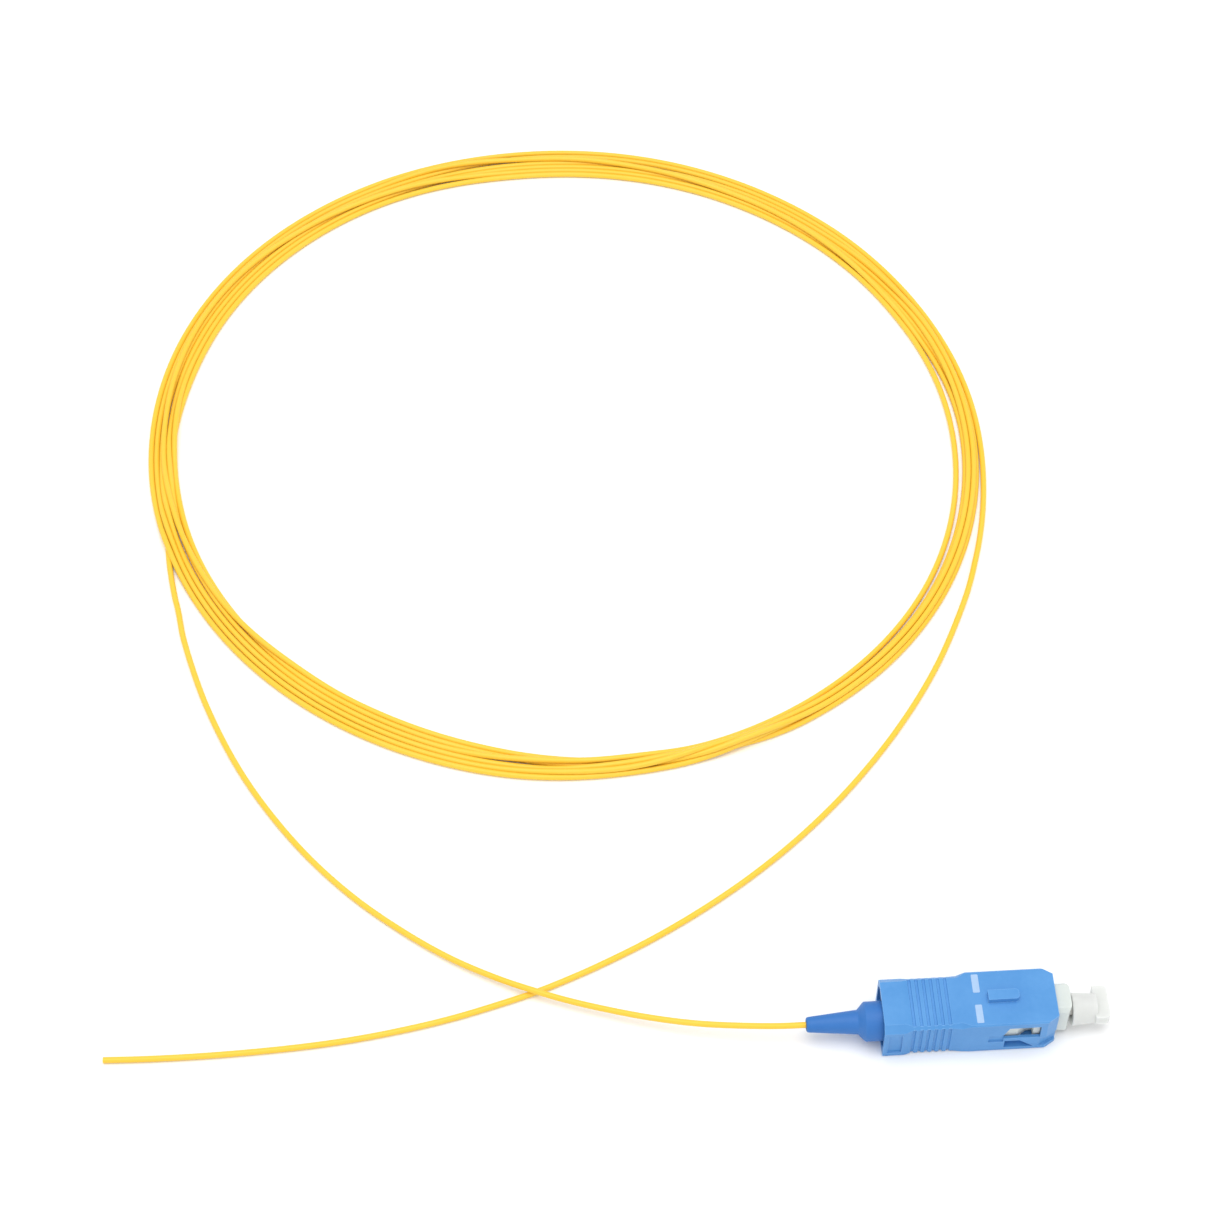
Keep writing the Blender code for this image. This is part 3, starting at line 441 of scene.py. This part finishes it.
def cloud_group():
    """Two sizes of noise, mixed between a deep and a pale colour."""
    group, enter, leave = shader_group(
        "melt_clouds",
        [("Deep", "NodeSocketColor", (0, 0, 0, 1)), ("Pale", "NodeSocketColor", (1, 1, 1, 1)),
         ("Scale", "NodeSocketFloat", 120.0), ("Amount", "NodeSocketFloat", 1.0)],
        [("Color", "NodeSocketColor")],
    )
    new, link = group.nodes.new, group.links.new
    where, noise, fine = new("ShaderNodeTexCoord"), new("ShaderNodeTexNoise"), new("ShaderNodeTexNoise")
    times, add, blend = new("ShaderNodeMath"), new("ShaderNodeMath"), new("ShaderNodeMix")
    centre, amount = new("ShaderNodeMath"), new("ShaderNodeMath")
    blend.data_type = "RGBA"
    times.operation = "MULTIPLY"
    times.inputs[1].default_value = FINE_CLOUDS
    add.operation = "MULTIPLY_ADD"
    add.inputs[1].default_value = FINE_SHARE
    centre.operation = "SUBTRACT"
    centre.inputs[1].default_value = CLOUD_SHIFT
    amount.operation = "MULTIPLY"
    amount.use_clamp = True
    link(where.outputs["Object"], noise.inputs["Vector"])
    link(where.outputs["Object"], fine.inputs["Vector"])
    link(enter.outputs["Scale"], noise.inputs["Scale"])
    link(enter.outputs["Scale"], times.inputs[0])
    link(times.outputs[0], fine.inputs["Scale"])
    link(fine.outputs["Fac"], add.inputs[0])
    link(noise.outputs["Fac"], add.inputs[2])
    link(add.outputs[0], centre.inputs[0])
    link(centre.outputs[0], amount.inputs[0])
    link(enter.outputs["Amount"], amount.inputs[1])
    link(amount.outputs[0], blend.inputs["Factor"])
    link(enter.outputs["Deep"], blend.inputs[6])
    link(enter.outputs["Pale"], blend.inputs[7])
    link(blend.outputs[2], leave.inputs["Color"])
    return group


# %% A group for the grain
GRAIN_DETAIL = 4.0
CELL_SHARE = 0.5                             # how much the cells add to the noise
NOISE_MIDDLE = 0.5


def grain_group():
    """The mould's fine grain as a height, and a roughness that goes with it."""
    group, enter, leave = shader_group(
        "mould_grain",
        [("Scale", "NodeSocketFloat", 2500.0), ("Roughness", "NodeSocketFloat", 0.4),
         ("Spread", "NodeSocketFloat", 0.1)],
        [("Height", "NodeSocketFloat"), ("Roughness", "NodeSocketFloat")],
    )
    new, link = group.nodes.new, group.links.new
    where, noise, cells = new("ShaderNodeTexCoord"), new("ShaderNodeTexNoise"), new("ShaderNodeTexVoronoi")
    mix, off, spread = new("ShaderNodeMath"), new("ShaderNodeMath"), new("ShaderNodeMath")
    noise.inputs["Detail"].default_value = GRAIN_DETAIL
    mix.operation = "MULTIPLY_ADD"
    mix.inputs[1].default_value = CELL_SHARE
    off.operation = "SUBTRACT"
    off.inputs[1].default_value = NOISE_MIDDLE
    spread.operation = "MULTIPLY_ADD"
    for texture in (noise, cells):
        link(where.outputs["Object"], texture.inputs["Vector"])
        link(enter.outputs["Scale"], texture.inputs["Scale"])
    link(cells.outputs["Distance"], mix.inputs[0])
    link(noise.outputs["Fac"], mix.inputs[2])
    link(mix.outputs[0], leave.inputs["Height"])
    link(noise.outputs["Fac"], off.inputs[0])
    link(off.outputs[0], spread.inputs[0])
    link(enter.outputs["Spread"], spread.inputs[1])
    link(enter.outputs["Roughness"], spread.inputs[2])
    link(spread.outputs[0], leave.inputs["Roughness"])
    return group


# %% A group for the edges


# the mask says where the paler edge colour, a painted highlight, goes
def edge_group():
    """How sharp the surface turns near a point, from 0 on a flat to 1 on an edge."""
    group, enter, leave = shader_group(
        "edge_highlight_mask",
        [("Reach", "NodeSocketFloat", 0.2 * MM), ("Sharpness", "NodeSocketFloat", 6.0)],
        [("Edge", "NodeSocketFloat")],
    )
    new, link = group.nodes.new, group.links.new
    bevel, flat, dot = new("ShaderNodeBevel"), new("ShaderNodeNewGeometry"), new("ShaderNodeVectorMath")
    turn, sharpen = new("ShaderNodeMath"), new("ShaderNodeMath")
    bevel.samples = 6
    dot.operation = "DOT_PRODUCT"
    turn.operation = "SUBTRACT"
    turn.inputs[0].default_value = 1.0
    sharpen.operation = "MULTIPLY"
    sharpen.use_clamp = True
    link(enter.outputs["Reach"], bevel.inputs["Radius"])
    link(bevel.outputs["Normal"], dot.inputs[0])
    link(flat.outputs["Normal"], dot.inputs[1])
    link(dot.outputs["Value"], turn.inputs[1])
    link(turn.outputs[0], sharpen.inputs[0])
    link(enter.outputs["Sharpness"], sharpen.inputs[1])
    link(sharpen.outputs[0], leave.inputs["Edge"])
    return group


MELT_CLOUDS, MOULD_GRAIN, EDGE_HIGHLIGHT_MASK = cloud_group(), grain_group(), edge_group()
print("groups:", MELT_CLOUDS.name, MOULD_GRAIN.name, EDGE_HIGHLIGHT_MASK.name)

# %% [markdown]
# ## One recipe for moulded plastic
#
# Every piece here uses the same steps: clouds for the colour, on some pieces a painted highlight in a
# paler colour along the edges, and grain for the roughness and for a very low bump. Only the colours
# and strengths differ, so one function builds the material and each piece states its own values.

# %% The moulded plastic recipe
BUMP_STRENGTH = 0.6


def use_group(tree, group, **values):
    node = tree.nodes.new("ShaderNodeGroup")
    node.node_tree = group
    for name, value in values.items():
        node.inputs[name].default_value = value
    return node


def moulded(name, deep, pale, edge=None, cloud_scale=140.0, clouds=1.0, grain=2600.0, roughness=0.4,
            spread=0.12, bump=0.01 * MM, edge_reach=0.15 * MM, **sockets):
    """A moulded plastic. Colours are linear, and sockets are set on the Principled shader."""
    material = bpy.data.materials.new(name)
    material.use_nodes = True
    tree = material.node_tree
    shader = tree.nodes["Principled BSDF"]
    colour = use_group(tree, MELT_CLOUDS, Deep=(*deep, 1), Pale=(*pale, 1), Scale=cloud_scale, Amount=clouds)
    texture = use_group(tree, MOULD_GRAIN, Scale=grain, Roughness=roughness, Spread=spread)
    height = tree.nodes.new("ShaderNodeBump")
    height.inputs["Strength"].default_value = BUMP_STRENGTH
    height.inputs["Distance"].default_value = bump
    tree.links.new(texture.outputs["Height"], height.inputs["Height"])
    tree.links.new(height.outputs["Normal"], shader.inputs["Normal"])
    tree.links.new(texture.outputs["Roughness"], shader.inputs["Roughness"])
    # edge, when given, is a paler colour painted along the edges as a highlight
    if edge is None:
        tree.links.new(colour.outputs["Color"], shader.inputs["Base Color"])
    else:
        edges = use_group(tree, EDGE_HIGHLIGHT_MASK, Reach=edge_reach)
        blend = tree.nodes.new("ShaderNodeMix")
        blend.data_type = "RGBA"
        blend.inputs[7].default_value = (*edge, 1)
        tree.links.new(edges.outputs["Edge"], blend.inputs["Factor"])
        tree.links.new(colour.outputs["Color"], blend.inputs[6])
        tree.links.new(blend.outputs[2], shader.inputs["Base Color"])
    for label, value in sockets.items():
        shader.inputs[label.replace("_", " ")].default_value = value
    return material


# %% [markdown]
# ## The fibre's yellow
#
# The buffer is a smooth plastic skin. Light does bleed inside the real one, but on something 0.9 mm
# thick a subsurface shader came out speckled, so a plain one is used. Its red is so high that light
# which bounces between two strands turns the gap orange, as it does in the photograph.

# %% Mix the fibre's yellow
fibre_yellow = moulded(
    "fibre_yellow", (0.915, 0.57, 0.03), (0.935, 0.605, 0.07), cloud_scale=60, grain=3000,
    roughness=0.42, spread=0.06, bump=0.001 * MM, Specular_IOR_Level=0.35,
)
print("made", fibre_yellow.name)

line = bpy.data.curves.new("fibre_line", "CURVE")
line.dimensions = "3D"
spline = line.splines.new("POLY")
spline.points.add(len(centre_line) - 1)
spline.points.foreach_set("co", np.c_[centre_line, np.ones(len(centre_line))].ravel())
guide = bpy.data.objects.new("fibre_line", line)
bpy.context.scene.collection.objects.link(guide)
sweep = guide.modifiers.new("Sweep", "NODES")
sweep.node_group = round_sweep
set_inputs(sweep, Radius=DIAMETER / 2, Sides=TUBE_SIDES, Material=fibre_yellow)
fibre = made_plain(guide, "fibre")
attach(fibre, "plug")
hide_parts("fibre_lead", "fibre_coil", "fibre_tail")
print("fibre:", triangles(fibre), "triangles")

# %% [markdown]
# ## Rounding the moulded pieces
#
# A mould can't make a knife edge. The CAD solids are right in shape but their edges are sharp, so each
# moulded piece is copied, its loose triangles are merged into clean faces, and a small bevel rounds
# what turns sharply. The rounded copy then stands for the CAD node.

# %% Copy a node with rounded edges
ONE_CORNER = 1e-6                            # metres; corners that are closer are one
ONE_FACE = math.radians(0.5)                 # faces that turn less are one


def rounded(node, radius, segments=2, angle=25):
    """A copy of a CAD node with its edges rounded, which replaces it."""
    source = nodes[node]
    bm = bmesh.new()
    bm.from_mesh(source.data)
    bmesh.ops.remove_doubles(bm, verts=bm.verts, dist=ONE_CORNER)
    bmesh.ops.dissolve_limit(bm, angle_limit=ONE_FACE, verts=bm.verts, edges=bm.edges)
    for face in bm.faces:
        face.smooth = True
    mesh = bpy.data.meshes.new(node)
    bm.to_mesh(mesh)
    bm.free()
    copy = bpy.data.objects.new(f"{node}_round", mesh)
    bpy.context.scene.collection.objects.link(copy)
    bevel = copy.modifiers.new("Round", "BEVEL")
    bevel.width = radius
    bevel.segments = segments
    bevel.limit_method = "ANGLE"
    bevel.angle_limit = math.radians(angle)
    bevel.use_clamp_overlap = True
    weights = copy.modifiers.new("Flat faces", "WEIGHTED_NORMAL")
    weights.keep_sharp = True
    piece = made_plain(copy, f"{node}_moulded")
    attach(piece, source["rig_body"])
    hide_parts(node)
    return piece


def finish_with(piece, material):
    piece.data.materials.clear()
    piece.data.materials.append(material)
    print(f"{piece.name}: {triangles(piece)} triangles in {material.name}")


# %% [markdown]
# ## The grip housing
#
# The blue housing is a satin plastic with a fine grain. In the photograph its flat top is a clear sky
# blue, and its sides are deeper.

# %% Dress the grip
grip = rounded("grip_housing", 0.09 * MM)
# the edge colour is a painted highlight along the grip's edges
grip_blue = moulded(
    "grip_blue", (0.06, 0.245, 0.58), (0.115, 0.335, 0.69), edge=(0.20, 0.45, 0.80), cloud_scale=160,
    grain=2600, roughness=0.36, spread=0.18, bump=0.012 * MM, Specular_IOR_Level=0.3,
)
finish_with(grip, grip_blue)

# %% [markdown]
# ## The two pale marks
#
# Two pale bars are printed across the grip's top, one on each side of the key. They are made as thin
# films that lie on the top, because the print's edges are crisp and a mesh keeps them so.

# %% Print the marks
KEY_HEIGHT = 0.95 * MM
MARK_SIZE = (1.0 * MM, 2.97 * MM, 0.03 * MM)
MARK_ALONG = 2.63 * MM                       # from the origin, towards the plug's front
MARK_ASIDE = 2.47 * MM                       # from the plug's middle line
MARK_LIFT = 0.01 * MM
MARK_ROUNDING = 0.08 * MM


def printed_marks():
    """Two thin films across the grip's top."""
    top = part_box("grip_housing")[1].z - KEY_HEIGHT
    bm = bmesh.new()
    for side in (-1, 1):
        verts = bmesh.ops.create_cube(bm, size=1.0)["verts"]
        bmesh.ops.scale(bm, vec=MARK_SIZE, verts=verts)
        bmesh.ops.translate(bm, vec=(MARK_ALONG, side * MARK_ASIDE, top + MARK_LIFT), verts=verts)
    upright = [edge for edge in bm.edges if abs(edge.verts[0].co.z - edge.verts[1].co.z) > ONE_CORNER]
    bmesh.ops.bevel(bm, geom=upright, offset=MARK_ROUNDING, segments=3, affect="EDGES")
    mesh = bpy.data.meshes.new("grip_marks")
    bm.to_mesh(mesh)
    bm.free()
    marks = bpy.data.objects.new("grip_marks", mesh)
    bpy.context.scene.collection.objects.link(marks)
    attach(marks, "grip")
    return marks


marks = printed_marks()
mark_white = moulded(
    "mark_white", (0.32, 0.48, 0.72), (0.38, 0.55, 0.79), cloud_scale=900, grain=3500, roughness=0.5,
    bump=0.004 * MM,
)
finish_with(marks, mark_white)

# %% [markdown]
# ## The inner frame, the boot and the dust cap
#
# The frame is a natural white plastic, the boot a softer and darker blue than the grip, and the cap a
# milky translucent plastic. Light goes into the walls of the frame and the cap, so both have some
# subsurface scattering.

# %% Dress the frame
inner = rounded("plug_frame", 0.08 * MM)
frame_white = moulded(
    "frame_white", (0.60, 0.65, 0.62), (0.70, 0.74, 0.71), cloud_scale=180, grain=2400,
    roughness=0.42, bump=0.005 * MM, Subsurface_Weight=0.25, Subsurface_Scale=0.8 * MM,
    Subsurface_Radius=(1.0, 0.95, 0.85),
)
finish_with(inner, frame_white)

# %% Dress the boot
boot = rounded("boot", 0.12 * MM, angle=20)
# the edge colour is a painted highlight along the boot's edges
boot_blue = moulded(
    "boot_blue", (0.030, 0.155, 0.47), (0.045, 0.19, 0.53), edge=(0.09, 0.28, 0.62), cloud_scale=200,
    grain=2000, roughness=0.5, bump=0.008 * MM, Specular_IOR_Level=0.3,
)
finish_with(boot, boot_blue)

# %% Dress the dust cap
cap = rounded("dust_cap", 0.15 * MM)
cap_milky = moulded(
    "cap_milky", (0.65, 0.665, 0.645), (0.73, 0.745, 0.725), cloud_scale=220, grain=2200, roughness=0.36,
    bump=0.006 * MM, Subsurface_Weight=0.8, Subsurface_Scale=1.5 * MM, Subsurface_Radius=(1.0, 1.0, 0.97),
    IOR=1.35,
)
finish_with(cap, cap_milky)

# %% [markdown]
# ## The pieces inside
#
# The polished ceramic ferrule sits in a metal flange, with a spring and the rear body behind it. They
# hardly show at rest, so their CAD meshes stay as they are and only get a finish.

# %% Dress the ferrule, flange, spring and rear body
ceramic = moulded(
    "polished_ceramic", (0.84, 0.83, 0.78), (0.90, 0.89, 0.85), cloud_scale=300, grain=4000,
    roughness=0.12, spread=0.04, bump=0.001 * MM,
)
plated = moulded(
    "plated_metal", (0.50, 0.49, 0.46), (0.64, 0.63, 0.60), cloud_scale=260, grain=3000,
    roughness=0.28, bump=0.003 * MM, Metallic=1.0,
)
for name, material in (
    ("ferrule", ceramic), ("ferrule_flange", plated), ("ferrule_spring", plated), ("rear_body", plated)
):
    shown = nodes[name]
    shown.data.materials.clear()
    shown.data.materials.append(material)
    print(name, "wears", material.name)

# %% [markdown]
# ## Table and light
#
# The photograph has a pure white ground with hardly any shadow. A large pale floor and a bright even
# sky come close to that, and two soft lamps, one above and one in front, add gentle highlights.

# %% Lay the table
TABLE_REACH = 3.0
TABLE_PLACE = (-0.05, 0.09, -0.02 * MM)      # a hair below the plug, so that no two faces coincide
PAPER_WHITE = (0.97, 0.97, 0.97, 1)
PAPER_ROUGHNESS = 0.9

bm = bmesh.new()
bmesh.ops.create_grid(bm, x_segments=1, y_segments=1, size=TABLE_REACH)
table_mesh = bpy.data.meshes.new("table")
bm.to_mesh(table_mesh)
bm.free()
table = bpy.data.objects.new("table", table_mesh)
table.location = TABLE_PLACE
bpy.context.scene.collection.objects.link(table)
paper = bpy.data.materials.new("white_paper")
paper.use_nodes = True
paper_shader = paper.node_tree.nodes["Principled BSDF"]
paper_shader.inputs["Base Color"].default_value = PAPER_WHITE
paper_shader.inputs["Roughness"].default_value = PAPER_ROUGHNESS
table_mesh.materials.append(paper)
print("the table reaches", TABLE_REACH, "m each way")

# %% Light it
SKY_COLOUR = (1.0, 1.0, 1.0, 1)
SKY_STRENGTH = 0.76

world = bpy.data.worlds.new("studio")
world.use_nodes = True
sky = world.node_tree.nodes["Background"]
sky.inputs["Color"].default_value = SKY_COLOUR
sky.inputs["Strength"].default_value = SKY_STRENGTH
bpy.context.scene.world = world


def soft_lamp(name, place, aim, size, power):
    """A round lamp of the given size in metres and power in watts, turned towards aim."""
    data = bpy.data.lights.new(name, "AREA")
    data.shape = "DISK"
    data.size = size
    data.energy = power
    lamp = bpy.data.objects.new(name, data)
    lamp.location = place
    lamp.rotation_euler = (Vector(aim) - Vector(place)).to_track_quat("-Z", "Y").to_euler()
    bpy.context.scene.collection.objects.link(lamp)
    print(f"{name}: {power} W")


soft_lamp("top_lamp", place=(-0.06, 0.0, 0.9), aim=(-0.04, 0.06, 0), size=0.8, power=4.7)
soft_lamp("front_lamp", place=(0.25, -0.75, 0.6), aim=(-0.04, 0.05, 0), size=0.6, power=0.5)
